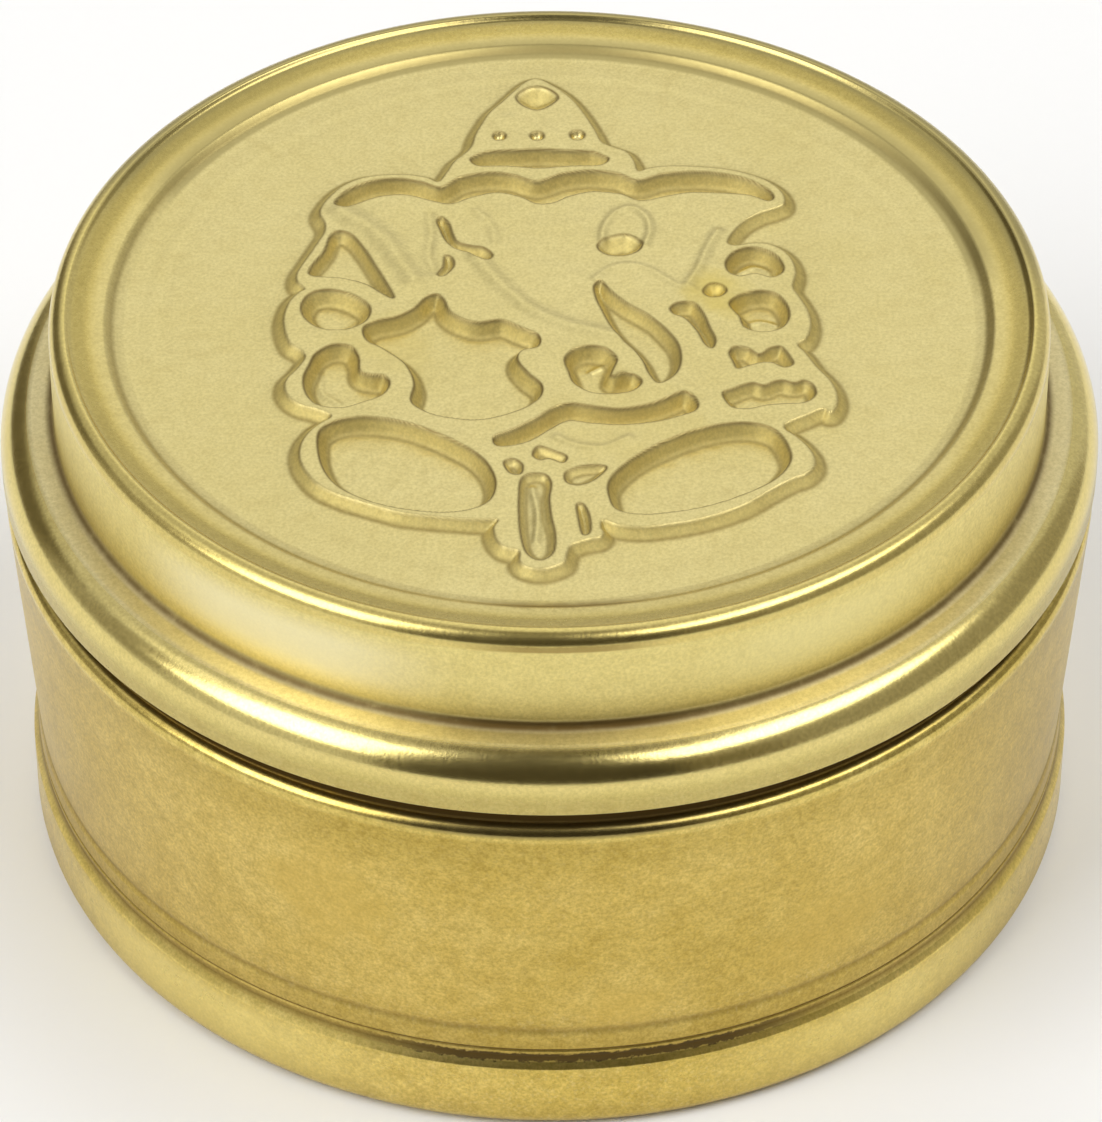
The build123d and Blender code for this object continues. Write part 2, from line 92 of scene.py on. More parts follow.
relief_cells = {
    "crown_gem": [
        (-1.9, 18.82), (-1.4, 19.52), (-0.7, 19.82), (0, 19.52), (0.5, 18.82), (0.1, 18.12), (-0.7, 17.62),
        (-1.5, 18.02),
    ],
    "crown_band": [
        (-4.4, 13.02), (-4.1, 13.44), (-3.3, 13.84), (-1.8, 13.94), (-0.6, 14.04), (1, 13.94),
        (2.3, 13.84), (3, 13.44), (3.3, 13.12), (2.8, 12.62), (1.2, 12.52), (-0.6, 12.32), (-2.4, 12.52),
        (-3.9, 12.52),
    ],
    "brow": [
        (-11.72, 9.54), (-11.02, 10.46), (-9.8, 11.16), (-8.4, 11.36), (-7.1, 11.08), (-6, 10.6),
        (-4.9, 11.52), (-3.4, 11.92), (-2, 11.72), (-0.7, 11.12), (0.7, 11.82), (2.3, 12.12), (3.8, 11.82),
        (4.9, 11.22), (6.4, 11.82), (8.4, 12), (10.4, 11.58), (11.86, 10.62), (12.36, 9.8), (12.05, 9.4),
        (11, 9.92), (9.3, 10.12), (7.6, 10.12), (6.2, 9.72), (5, 9.42), (3.9, 10.02), (2.4, 10.22),
        (1.1, 9.82), (0.2, 9.22), (-0.7, 9.12), (-1.6, 9.72), (-2.9, 10.12), (-4.3, 9.72), (-5.4, 9.12),
        (-6.6, 9.42), (-8, 9.92), (-9.5, 9.72), (-10.6, 9.12), (-11.3, 8.72), (-11.8, 9.02),
    ],
    "eye_right": [
        (2.6, 5.42), (3.2, 6.12), (4.1, 6.42), (4.8, 6.02), (5.1, 5.42), (4.7, 4.82), (3.9, 4.52),
        (3, 4.72),
    ],
    "eye_left": [
        (-6.2, 7.62), (-5.9, 7.92), (-5.5, 7.32), (-5.3, 6.42), (-5, 5.72), (-4.3, 5.42), (-3.6, 5.22),
        (-3.1, 4.62), (-3.4, 4.12), (-4, 4.32), (-4.5, 4.82), (-5.2, 5.22), (-5.7, 5.92), (-6, 6.82),
    ],
    "ear_nick": [
        (-5.7, 4.52), (-5.3, 4.32), (-5.2, 3.62), (-5.7, 2.82), (-6.1, 2.92), (-5.8, 3.62),
    ],
    "ear_leaf": [
        (-12, 6.28), (-11.5, 6.7), (-10.8, 6.32), (-10.1, 5.12), (-9.5, 3.72), (-8.9, 2.32),
        (-8.4, 0.92), (-9, 1.22), (-10, 2.12), (-11.4, 2.62), (-12.9, 2.82), (-13, 3.5), (-12.32, 4.92),
    ],
    "hand_left_upper": [
        (-13.4, 0.32), (-12.9, 1.32), (-11.9, 1.62), (-10.6, 1.12), (-9.7, 0.12), (-9.9, -1.08),
        (-11, -1.78), (-12.3, -1.68), (-13.2, -0.78),
    ],
    "sweet_left": [
        (-12.82, -4.78), (-12.48, -3.78), (-11.6, -3.08), (-10.6, -3.28), (-10.2, -4.18), (-10.1, -5.28),
        (-9.5, -5.58), (-8.8, -5.68), (-8.5, -6.38), (-8.9, -7.28), (-9.8, -7.78), (-11, -8.28),
        (-12.2, -8.08), (-12.9, -7.18), (-13.1, -5.88),
    ],
    "belly": [
        (-10, -1.68), (-9.3, -1.08), (-8.2, -0.68), (-7.3, 0.02), (-6.7, 0.92), (-6.1, 1.22), (-5.7, 0.72),
        (-5.4, -0.18), (-4.7, -0.88), (-3.8, -1.18), (-2.6, -0.98), (-1.6, -1.58), (-0.6, -2.28),
        (-0.6, -3.18), (-1.5, -3.58), (-1.7, -4.38), (-1.1, -5.48), (-0.4, -6.48), (-0.6, -7.58),
        (-1.8, -8.58), (-3.8, -9.28), (-6, -8.88), (-7.3, -7.88), (-7.2, -6.28), (-7.7, -4.68),
        (-8.9, -3.38), (-9.8, -2.68),
    ],
    "trunk_side": [
        (2.4, 1.92), (2.8, 2.32), (3.3, 1.52), (4.2, 0.42), (5.3, -0.58), (6.2, -1.68), (6.9, -3.08),
        (7, -4.58), (6.6, -5.68), (5.8, -6.28), (5.3, -5.48), (5, -4.48), (4.5, -3.48), (3.7, -2.38),
        (3.2, -1.28), (2.8, -0.08), (2.5, 0.92),
    ],
    "trunk_curl": [
        (0.8, -4.28), (1.3, -3.48), (2.2, -3.18), (3.1, -3.48), (3.6, -4.28), (3.4, -5.08), (3.3, -5.68),
        (3.9, -5.58), (4.5, -5.58), (4.9, -6.18), (4.4, -6.88), (3.3, -7.18), (2.1, -6.98), (1.3, -6.28),
        (1, -5.28),
    ],
    "tusk": [
        (6.5, 0.02), (7, 0.52), (7.8, 0.42), (8.3, -0.48), (8.6, -1.58), (8.9, -2.68), (8.7, -3.38),
        (8.3, -2.98), (7.9, -1.88), (7.3, -0.88), (6.7, -0.48),
    ],
    "bud": [
        (8.3, 1.52), (8.7, 2.12), (9.3, 2.02), (9.6, 1.52), (9.2, 1.02), (8.6, 1.02),
    ],
    "hand_right_1": [
        (9.6, 4.02), (10.1, 4.92), (11, 5.32), (12, 4.92), (12.6, 4.12), (12.7, 3.22), (12.1, 2.72),
        (11.2, 3.02), (10.3, 2.82), (9.7, 3.22),
    ],
    "hand_right_2": [
        (9.7, 0.42), (10.4, 1.22), (11.4, 1.52), (12.3, 1.22), (12.8, 0.32), (12.9, -0.78), (12.4, -1.68),
        (11.4, -1.98), (10.5, -1.58), (10.2, -0.68),
    ],
    "bow_right": [
        (9.6, -3.78), (9.9, -3.28), (10.6, -3.38), (11.2, -3.88), (11.8, -3.38), (12.4, -3.28),
        (12.8, -3.98), (13, -4.68), (12.5, -4.98), (11.9, -4.58), (11.2, -4.58), (10.5, -4.88),
        (10, -5.08), (9.8, -4.48),
    ],
    "fingers_right": [
        (9.2, -7.08), (9.7, -6.78), (10.2, -6.48), (10.8, -6.28), (11.4, -6.48), (11.9, -6.18),
        (12.4, -6.08), (13, -6.28), (13.5, -6.08), (14, -6.48), (14.1, -7.28), (13.5, -7.88),
        (12.5, -7.98), (11.5, -8.08), (10.5, -8.38), (9.7, -8.28), (9.3, -7.68),
    ],
    "sash": [
        (-2.9, -10.68), (-1.9, -10.08), (-0.7, -9.18), (0.3, -8.28), (1.2, -7.98), (2.6, -8.28),
        (4, -8.38), (5.4, -7.98), (6.3, -7.48), (7.1, -6.98), (7.7, -7.48), (7.8, -8.38), (6.8, -8.98),
        (5.4, -9.48), (3.8, -9.68), (2.2, -9.58), (1, -9.38), (0, -10.08), (-1, -10.98), (-2, -11.38),
        (-2.8, -11.38),
    ],
    "knot": [
        (-0.9, -12.18), (-0.6, -11.48), (0.1, -11.78), (0.9, -12.28), (0.7, -12.78), (0, -12.48),
        (-0.5, -12.58),
    ],
    "bead_small": [
        (-2.4, -12.78), (-1.9, -12.48), (-1.4, -12.98), (-1.5, -13.68), (-2.1, -13.58),
    ],
    "buckle": [
        (0.8, -13.68), (1.4, -13.18), (2.3, -12.98), (3, -13.18), (2.4, -14.08), (1.6, -14.58),
        (0.9, -14.38),
    ],
    "drape": [
        (-1.5, -14.18), (-1, -13.68), (-0.2, -13.78), (0.1, -14.48), (0, -15.68), (0.1, -17.08),
        (0.3, -18.48), (0.2, -19.88), (-0.5, -20.48), (-1.2, -19.88), (-1.5, -18.48), (-1.6, -16.88),
        (-1.6, -15.48),
    ],
    "drape_slit": [
        (1.4, -16.18), (1.8, -16.18), (2.1, -17.18), (2.1, -18.28), (1.7, -18.48), (1.5, -17.38),
    ],
    "thigh_left": [
        (-12.2, -10.68), (-11.8, -9.78), (-10.7, -9.18), (-9.4, -9.08), (-8, -9.38), (-6.6, -9.98),
        (-5.2, -10.88), (-3.9, -11.98), (-3.1, -13.18), (-2.8, -14.58), (-3.2, -15.88), (-4.4, -16.58),
        (-6.2, -16.68), (-8.2, -16.28), (-10, -15.48), (-11.3, -14.28), (-12, -12.68),
    ],
    "thigh_right": [
        (3.1, -14.28), (3.8, -13.08), (5.2, -11.68), (7, -10.48), (9, -9.68), (10.7, -9.58),
        (11.9, -10.18), (12.5, -11.38), (12.6, -12.68), (11.8, -14.08), (10.3, -15.18), (8.5, -16.08),
        (6.5, -16.68), (4.7, -16.88), (3.5, -16.48), (3.1, -15.48),
    ],
}

crown_dots = [(-2.8, 15.22, 0.4), (-0.7, 15.22, 0.42), (1.55, 15.32, 0.45)]

# ridges and scored lines finer than the cells: points, half width, height (mm)
fine_lines = [
    ([(-11.5, 8.4), (-10.2, 7.3), (-9.0, 5.8), (-8.1, 4.0), (-7.4, 2.5)], 0.62, 0.17),
    ([(-6.6, 8.2), (-6.5, 6.4), (-6.6, 4.7), (-6.3, 3.2)], 0.30, -0.08),
    ([(-4.0, 4.5), (-3.0, 2.6), (-1.9, 1.0), (-0.9, -0.2), (0.5, -1.2), (2.2, -1.9), (3.6, -2.4)], 0.50, 0.14),
    ([(-4.0, 8.4), (-3.2, 7.2), (-3.0, 5.6)], 0.28, 0.06),
    ([(2.9, 5.9), (3.0, 7.0), (3.6, 8.2), (4.5, 8.7), (5.3, 7.9), (5.5, 6.6), (5.2, 5.4)], 0.26, 0.11),
    ([(9.2, 6.6), (8.6, 5.0), (8.1, 3.4), (7.5, 2.0)], 0.30, 0.12),
    ([(2.5, 2.5), (3.2, 3.3), (4.1, 3.7), (5.3, 3.4), (6.2, 2.6), (7.0, 1.9), (7.8, 1.6)], 0.26, 0.08),
    ([(-12.9, -0.2), (-12.2, -1.3), (-11.2, -1.2), (-10.4, -0.5)], 0.20, 0.07),
    ([(-12.2, -4.8), (-12.1, -6.2), (-11.2, -7.1)], 0.22, 0.06),
    ([(2.2, -4.6), (2.9, -4.1), (3.3, -4.5)], 0.18, 0.12),
    ([(3.4, -6.1), (3.9, -5.6), (4.4, -6.0)], 0.18, 0.12),
    ([(0.4, -10.8), (1.4, -11.4), (2.8, -11.6), (4.2, -10.8)], 0.26, 0.08),
    ([(10.2, 3.8), (11.2, 4.4), (12.2, 3.9)], 0.2, 0.10),
    ([(10.4, -0.7), (11.4, -0.3), (12.4, -0.7)], 0.2, 0.10),
    ([(-0.9, -14.6), (-0.6, -16.6), (-0.7, -18.8)], 0.24, 0.12),
]

# cells pressed less deep than the rest, as a share of the full depth
shallow = {"drape": 0.42, "drape_slit": 0.45, "knot": 0.45, "bead_small": 0.4, "buckle": 0.4, "ear_nick": 0.5, "bud": 0.55, "tusk": 0.75,
           "trunk_side": 0.8, "ear_leaf": 0.75, "eye_left": 0.7, "crown_gem": 0.85, "fingers_right": 0.75, "bow_right": 0.75, "eye_right": 0.8}

# cells whose wall runs down more gently
gentle = {"crown_gem": 2.1, "eye_right": 1.8, "hand_left_upper": 1.15, "bud": 1.3}

# ------------------------------------------------------------------ tools
def loop_points(points, per=10, closed=True):
    """Smooth line through the points (Catmull-Rom), as an array."""
    p = np.array(points, float)
    n = len(p)
    out = []
    t = np.linspace(0, 1, per, endpoint=False)[:, None]
    for i in range(n if closed else n - 1):
        if closed:
            a, b, c, d = p[(i - 1) % n], p[i], p[(i + 1) % n], p[(i + 2) % n]
        else:
            a, b, c, d = p[max(i - 1, 0)], p[i], p[i + 1], p[min(i + 2, n - 1)]
        out.append(0.5 * ((2 * b) + (c - a) * t + (2 * a - 5 * b + 4 * c - d) * t ** 2 + (3 * b - a - 3 * c + d) * t ** 3))
    out = np.vstack(out)
    if not closed:
        out = np.vstack([out, p[-1:]])
    return out


def distance_to_line(xy, line, closed, reach):
    """Unsigned distance from every point of xy to the line; further than reach it is left at reach."""
    if closed:
        line = np.vstack([line, line[:1]])
    best = np.full(len(xy), float(reach))
    for k in range(0, len(line) - 1, 6):
        run = line[k:k + 7]
        low, high = run.min(0) - reach, run.max(0) + reach
        near = np.flatnonzero(np.all((xy > low) & (xy < high), axis=1))
        if not len(near):
            continue
        part = xy[near]
        d = best[near]
        for p0, p1 in zip(run[:-1], run[1:]):
            e = p1 - p0
            w = part - p0
            t = np.clip((w @ e) / max(e @ e, 1e-12), 0, 1)
            np.minimum(d, np.hypot(w[:, 0] - t * e[0], w[:, 1] - t * e[1]), out=d)
        best[near] = d
    return best


def inside_loop(xy, line):
    a, b = line, np.roll(line, -1, 0)
    inside = np.zeros(len(xy), bool)
    x, y = xy[:, 0], xy[:, 1]
    for (x0, y0), (x1, y1) in zip(a, b):
        if y0 == y1:
            continue
        hit = (y0 > y) != (y1 > y)
        inside ^= hit & (x < (x1 - x0) * (y - y0) / (y1 - y0) + x0)
    return inside


def signed_loop(xy, points, reach, per=8):
    """Distance inside the loop, positive inside, clipped to reach on both sides."""
    line = loop_points(points, per)
    low, high = line.min(0) - reach, line.max(0) + reach
    near = np.flatnonzero(np.all((xy > low) & (xy < high), axis=1))
    out = np.full(len(xy), -float(reach))
    part = xy[near]
    d = distance_to_line(part, line, True, reach)
    out[near] = np.where(inside_loop(part, line), d, -d)
    return out


def smooth(t):
    t = np.clip(t, 0, 1)
    return t * t * t * (t * (6 * t - 15) + 10)


def value_noise(xy, cell, seed):
    """Smooth seeded noise in -1 to 1 over the plan."""
    rng = np.random.RandomState(seed)
    size = 64
    grid = rng.uniform(-1, 1, (size, size))
    g = xy / cell + 1000.37
    i = np.floor(g).astype(int)
    f = g - i
    f = f * f * (3 - 2 * f)
    x0, y0 = i[:, 0] % size, i[:, 1] % size
    x1, y1 = (x0 + 1) % size, (y0 + 1) % size
    top = grid[x0, y0] * (1 - f[:, 0]) + grid[x1, y0] * f[:, 0]
    low = grid[x0, y1] * (1 - f[:, 0]) + grid[x1, y1] * f[:, 0]
    return top * (1 - f[:, 1]) + low * f[:, 1]


def wall(t):
    """A pressed wall from 0 (its upper edge) to 1 (its foot): almost straight, tight at both ends."""
    x = np.array([-0.10, 0.0, 0.08, 0.66, 0.86, 1.02, 1.30])
    y = np.array([0.0, 0.030, 0.120, 0.820, 0.955, 0.994, 1.0])
    m = np.array([0.0, 0.75, 1.22, 1.05, 0.42, 0.10, 0.0])
    t = np.clip(t, x[0], x[-1])
    k = np.clip(np.searchsorted(x, t, side="right") - 1, 0, len(x) - 2)
    h = x[k + 1] - x[k]
    u = (t - x[k]) / h
    return (2 * u ** 3 - 3 * u ** 2 + 1) * y[k] + (u ** 3 - 2 * u ** 2 + u) * h * m[k] + (3 * u ** 2 - 2 * u ** 3) * y[k + 1] + (u ** 3 - u ** 2) * h * m[k + 1]


def relief(xy):
    """Height of the stamped panel over its flat level, how much dirt and painted shade each point takes (in the corners
    and along the wall edges), and how far up a wall.
    """
    out = signed_loop(xy, figure_outline, 2.6, per=6)
    t = -out / (FOOT * (1 + 0.08 * value_noise(xy, 2.3, 5)))
    height = RELIEF * (1 - wall(t))
    # the sheet is drawn down softly round the foot of the wall
    height += 0.075 * np.exp(-np.clip(-out - 0.40, 0, None) / 0.65) * smooth(-out / 0.45)
    # painted shade, with some dirt, at the foot of the outer wall, and a painted dark line along its upper edge
    grime = 0.42 * np.exp(-((out + FOOT * 0.98) / 0.14) ** 2) + 0.40 * np.exp(-((out + 0.03) / 0.06) ** 2)
    steep = smooth((t - 0.02) / 0.22) * (1 - smooth((t - 0.90) / 0.45))
    for k, (name, cell) in enumerate(relief_cells.items()):
        d = signed_loop(xy, cell, 1.3, per=8)
        share = shallow.get(name, 1.0)
        width = WALL * gentle.get(name, 1.0) * (0.45 + 0.55 * share) * (1 + 0.07 * value_noise(xy, 1.7, 11 + k))
        drop = wall(d / width) * share
        height = np.where(d > -0.2, height - (height + SUNK) * drop, height)
        side = d / width
        steep = np.maximum(steep, smooth((side - 0.02) / 0.22) * (1 - smooth((side - 0.90) / 0.45)) * (0.5 + 0.5 * share))
        # painted shade, with some dirt, at the foot of each cell wall, and a painted dark line along its upper edge
        grime = np.maximum(grime, 0.40 * np.exp(-((d - 0.97 * width) / 0.12) ** 2))
        grime = np.maximum(grime, 0.84 * np.exp(-((d - 0.01) / 0.070) ** 2))
    for x, y, r in crown_dots:
        d = r - np.hypot(xy[:, 0] - x, xy[:, 1] - y)
        height -= 0.34 * smooth((d + 0.05) / 0.36)
        # painted dark ring along the rim of each dot
        grime = np.maximum(grime, 0.7 * np.exp(-((d - 0.04) / 0.09) ** 2))
    for points, half, rise in fine_lines:
        line = loop_points(points, 8, closed=False)
        d = distance_to_line(xy, line, False, 4 * half)
        height += np.where(d < 4 * half, rise * np.exp(-(d / half) ** 2), 0)
    # the raised figure is slightly uneven, as hand-cut dies leave it
    height += smooth((out + 0.1) / 0.4) * (0.018 * value_noise(xy, 0.95, 21) + 0.009 * value_noise(xy, 0.45, 22))
    r = np.hypot(xy[:, 0], xy[:, 1])
    fade = 1 - smooth((r - 22.10) / 0.55)
    height *= fade
    # the sheet is not quite flat: slow waves, and a faint ring left by the press
    height += fade * (0.012 * value_noise(xy, 9.0, 3) + 0.006 * value_noise(xy, 3.1, 4))
    height += 0.012 * np.exp(-((r - 21.55) / 0.30) ** 2) - 0.010 * np.exp(-((r - 20.9) / 0.35) ** 2)
    return height, np.clip(grime * fade, 0, 1), np.clip(steep * fade, 0, 1)


def rounded(points):
    """A section line through (r, z, round) points with each corner rounded to its radius."""
    pts = [(Vector((p[0], p[1])), p[2] if len(p) > 2 else 0.0) for p in points]
    out = [pts[0][0]]
    for i in range(1, len(pts) - 1):
        (p, rad) = pts[i]
        a, b = (pts[i - 1][0] - p), (pts[i + 1][0] - p)
        la, lb = a.length, b.length
        a.normalize(); b.normalize()
        ang = a.angle(b)
        if rad <= 0 or ang > math.pi - 0.01:
            out.append(p)
            continue
        cut = min(rad / math.tan(ang / 2), 0.49 * la, 0.49 * lb)
        rr = cut * math.tan(ang / 2)
        centre = p + (a + b).normalized() * (rr / math.sin(ang / 2))
        s, e = p + a * cut, p + b * cut
        v0, v1 = s - centre, e - centre
        turn = v0.angle_signed(v1)
        steps = max(3, int(math.degrees(abs(turn)) / 7) + 1)
        for k in range(steps + 1):
            t = -turn * k / steps
            c, sn = math.cos(t), math.sin(t)
            out.append(centre + Vector((v0.x * c - v0.y * sn, v0.x * sn + v0.y * c)))
    out.append(pts[-1][0])
    return [(q.x, q.y) for q in out]


def arc(cx, cz, rad, a0, a1, step=6.0):
    n = max(2, int(abs(a1 - a0) / step) + 1)
    return [(cx + rad * math.cos(math.radians(a0 + (a1 - a0) * k / n)), cz + rad * math.sin(math.radians(a0 + (a1 - a0) * k / n))) for k in range(n + 1)]


def spaced(line, step=0.9):
    """The same line with long runs divided, so that shading follows small unevenness."""
    out = [line[0]]
    for (r0, z0), (r1, z1) in zip(line[:-1], line[1:]):
        n = max(1, int(math.ceil(math.hypot(r1 - r0, z1 - z0) / step)))
        for k in range(1, n + 1):
            out.append((r0 + (r1 - r0) * k / n, z0 + (z1 - z0) * k / n))
    clean = [out[0]]
    for q in out[1:]:
        if math.hypot(q[0] - clean[-1][0], q[1] - clean[-1][1]) > 1e-5:
            clean.append(q)
    return clean


class Turned:
    """Collects rings of vertices and the faces between them."""

    def __init__(self):
        self.verts, self.faces, self.grime, self.steep, self.count = [], [], [], [], 0

    def ring(self, r, z, seg, grime=0.0):
        a = np.arange(seg) * (2 * math.pi / seg)
        co = np.stack([r * np.sin(a), -r * np.cos(a), np.full(seg, z)], 1)
        return self.ring_points(co, np.full(seg, grime))

    def ring_points(self, co, grime, steep=0.0):
        first = self.count
        self.verts.append(co)
        self.grime.append(np.broadcast_to(grime, (len(co),)).astype(float))
        self.steep.append(np.broadcast_to(steep, (len(co),)).astype(float))
        self.count += len(co)
        return (first, len(co))

    def point(self, z, grime=0.0):
        return self.ring_points(np.array([[0.0, 0.0, z]]), np.array([grime]))

    def join(self, one, two):
        """Faces from ring one to ring two, going along the section with the metal on the right."""
        (a, n), (b, m) = one, two
        if n == 1:
            i = np.arange(m)
            self.add(np.full(m, a), b + i, b + (i + 1) % m)
        elif m == 1:
            i = np.arange(n)
            self.add(a + i, np.full(n, b), a + (i + 1) % n)
        elif n == m:
            i = np.arange(n)
            j = (i + 1) % n
            self.add(a + i, b + i, b + j, a + j)
        elif n == 2 * m:
            i = np.arange(m)
            i0, i1, i2, j0, j1 = a + 2 * i, a + 2 * i + 1, a + (2 * i + 2) % n, b + i, b + (i + 1) % m
            self.add(i0, j0, i1)
            self.add(i1, j0, j1)
            self.add(i1, j1, i2)
        elif m == 2 * n:
            i = np.arange(n)
            i0, i1, i2, j0, j1 = b + 2 * i, b + 2 * i + 1, b + (2 * i + 2) % m, a + i, a + (i + 1) % n
            self.add(j0, i0, i1)
            self.add(j0, i1, j1)
            self.add(j1, i1, i2)

    def add(self, *corners):
        self.faces += np.stack(corners, 1).tolist()

    def make(self, name):
        mesh = bpy.data.meshes.new(name)
        co = np.vstack(self.verts) * MM
        mesh.from_pydata(co.tolist(), [], self.faces)
        mesh.validate()
        mesh.update()
        for p in mesh.polygons:
            p.use_smooth = True
        for key, values in (("grime", self.grime), ("steep", self.steep)):
            mesh.attributes.new(key, "FLOAT", "POINT").data.foreach_set("value", np.concatenate(values).astype(np.float32))
        ob = bpy.data.objects.new(name, mesh)
        bpy.context.scene.collection.objects.link(ob)
        return ob


def section_grime(line, spots):
    """Dark deposit and painted shade along a section: spots are (r, z, reach, amount)."""
    out = []
    for r, z in line:
        g = 0.0
        for sr, sz, reach, amount in spots:
            g = max(g, amount * math.exp(-((r - sr) ** 2 + (z - sz) ** 2) / reach ** 2))
        out.append(g)
    return out


# ------------------------------------------------------------------ the cap
def build_lid():
    t = Turned()
    # stamped panel, centre outwards
    radii = np.arange(1, RINGS + 1) * (PANEL_R / RINGS)
    counts = [SEG if r < 5.6 else 2 * SEG if r < 11.2 else 4 * SEG for r in radii]
    xy = [np.zeros((1, 2))]
    for r, n in zip(radii, counts):
        a = np.arange(n) * (2 * math.pi / n)
        xy.append(np.stack([r * np.sin(a), -r * np.cos(a)], 1))
    ends = np.cumsum([len(q) for q in xy])
    xy = np.vstack(xy)
    h, g, s = relief(xy)
    co = np.column_stack([xy, PANEL_Z + h])
    rings = [t.ring_points(co[:1], g[:1], s[:1])]
    for start, end in zip(ends[:-1], ends[1:]):
        rings.append(t.ring_points(co[start:end], g[start:end], s[start:end]))
    rings.append(t.ring(PANEL_R + 0.10, PANEL_Z, 2 * SEG))
    # crest, crown wall, cove, bead and skirt
    top = rounded([
        (PANEL_R + 0.12, PANEL_Z), (22.95, PANEL_Z, 1.2), (23.55, PANEL_Z + 0.12, 0.60), (23.98, PANEL_Z + 0.46, 0.42), (24.95, PANEL_Z + 0.54, 2.6),
        (25.86, PANEL_Z + 0.79, 0.90), (26.04, CREST_Z - 0.03, 0.20), (DRUM_R - 0.85, CREST_Z),
    ]) + arc(DRUM_R - 0.85, CREST_Z - 0.85, 0.85, 88, 0, 5.0) + rounded([
        (DRUM_R + 0.005, CREST_Z - 0.90), (DRUM_R + 0.02, 29.6, 0), (DRUM_R, BEAD_Z + BEAD_R + 0.05, 0.60), (28.24, BEAD_Z + BEAD_R - 0.028)])
    bead = arc(SKIRT_R - BEAD_R, BEAD_Z, BEAD_R, 80, 0, 4.0)
    edge = rounded([(SKIRT_R, BEAD_Z - 0.01), (SKIRT_R, SKIRT_Z, 0.22), (SKIRT_R - 0.5 * SHEET, SKIRT_Z), (SKIRT_R - SHEET, SKIRT_Z, 0.16),
                    (SKIRT_R - SHEET, BEAD_Z)])
    under = arc(SKIRT_R - BEAD_R, BEAD_Z, BEAD_R - SHEET, 0, 90, 8.0)
    inner = rounded([(SKIRT_R - BEAD_R, BEAD_Z + BEAD_R - SHEET), (DRUM_R - SHEET, BEAD_Z + BEAD_R - SHEET, 0.6), (DRUM_R - SHEET, CREST_Z - SHEET, 0.30),
                     (25.95, CREST_Z - SHEET - 0.10, 0.3), (24.95, PANEL_Z + 0.54 - SHEET, 0.8), (24.1, PANEL_Z + 0.46 - SHEET, 0.3), (23.75, PANEL_Z + 0.10 - SHEET, 0.4),
                     (22.95, PANEL_Z - SHEET, 0.8), (PANEL_R, PANEL_Z - SHEET)])
    line = spaced(top + bead + edge + under[1:] + inner[1:])
    # painted shade, with some dirt, in the cove under the drum, at the step of the panel edge, and inside the skirt and
    # the drum
    spots = [(DRUM_R + 0.14, BEAD_Z + BEAD_R + 0.18, 0.30, 0.95), (23.70, PANEL_Z + 0.20, 0.25, 0.35),
             (SKIRT_R - SHEET, SKIRT_Z + 0.5, 0.8, 0.5), (DRUM_R - SHEET, BEAD_Z + BEAD_R, 0.8, 0.4)]
    for (r, z), gr in zip(line, section_grime(line, spots)):
        rings.append(t.ring(r, z, SEG, gr))
    # underside of the panel: the same figure, pressed through the sheet
    inner_radii = np.arange(1, 88)[::-1] * (PANEL_R / 88)
    aa = np.arange(SEG) * (2 * math.pi / SEG)
    for r in inner_radii:
        co = np.stack([r * np.sin(aa), -r * np.cos(aa)], 1)
        h2 = relief(co)[0]
        rings.append(t.ring_points(np.column_stack([co, PANEL_Z - SHEET + 0.85 * h2]), np.full(SEG, 0.15)))
    rings.append(t.point(PANEL_Z - SHEET + 0.85 * h[0], 0.15))
    for one, two in zip(rings[:-1], rings[1:]):
        t.join(one, two)
    return t.make("lid_brass")


# ------------------------------------------------------------------ the cup
def build_cup():
    t = Turned()
    under = rounded([(24.00, 0.45), (24.00 + 0.05, 0.45, 0.5), (24.60, 0.0, 0.3), (28.33, 0.0, 0), (28.34, 0.0)])[1:]
    outer = arc(29.38 - 1.05, 1.05, 1.05, -90, 0, 6.0) + rounded([
        (29.38, 1.06), (29.38, 4.50, 0.35), (29.12, 4.90, 0.18), (29.02, 5.23, 0.15), (29.06, 5.60, 0.06), (28.97, 5.72, 0.06), (29.05, 5.83, 0.10),
        (29.03, 6.75, 0.5), (28.92, 7.09, 0.25), (28.98, 7.45, 0.5), (SHOULDER_R, 22.00, 0.3), (SHOULDER_R, 22.10)])[1:] \
        + arc(SHOULDER_R - 0.65, 22.10, 0.65, 0, 90, 6.0) \
        + rounded([(29.25, 22.75), (29.20, 22.75, 0.1), (29.20, NECK_TOP, 0.25), (28.90, NECK_TOP), (28.60, NECK_TOP, 0.25), (28.60, 22.25, 0.4),
                   (29.28, 21.55, 0.5), (28.40, 7.0, 0.4), (28.42, 4.8, 0.4), (28.78, 4.2, 0.3), (28.78, 0.60, 0.9), (24.8, 0.60, 0.4), (24.25, 1.05, 0.5), (23.5, 1.05)])[1:]
    line = spaced(under + outer)
    # painted shade, with some dirt, in the foot crease and the waist line, on the neck under the cap, inside the cup
    # and under its foot
    spots = [(28.97, 5.72, 0.10, 0.9), (28.92, 7.09, 0.30, 0.45), (29.05, 5.12, 0.26, 0.85), (29.22, 22.90, 0.26, 1.0), (29.20, 23.8, 0.9, 0.8), (28.6, 1.0, 0.9, 0.5),
             (28.4, 6.0, 1.2, 0.3), (24.5, 0.2, 0.5, 0.5)]
    rings = [t.point(0.45)]
    for r in (4.0, 8.0, 12.0, 16.0, 19.0, 21.5, 23.2):
        rings.append(t.ring(r, 0.45, SEG))
    for (r, z), gr in zip(line, section_grime(line, spots)):
        rings.append(t.ring(r, z, SEG, gr))
    for r in (21.5, 19.0, 16.0, 12.0, 8.0, 4.0):
        rings.append(t.ring(r, 1.05, SEG, 0.1))
    rings.append(t.point(1.05, 0.1))
    rings.reverse()
    for one, two in zip(rings[:-1], rings[1:]):
        t.join(one, two)
    return t.make("cup_brass")


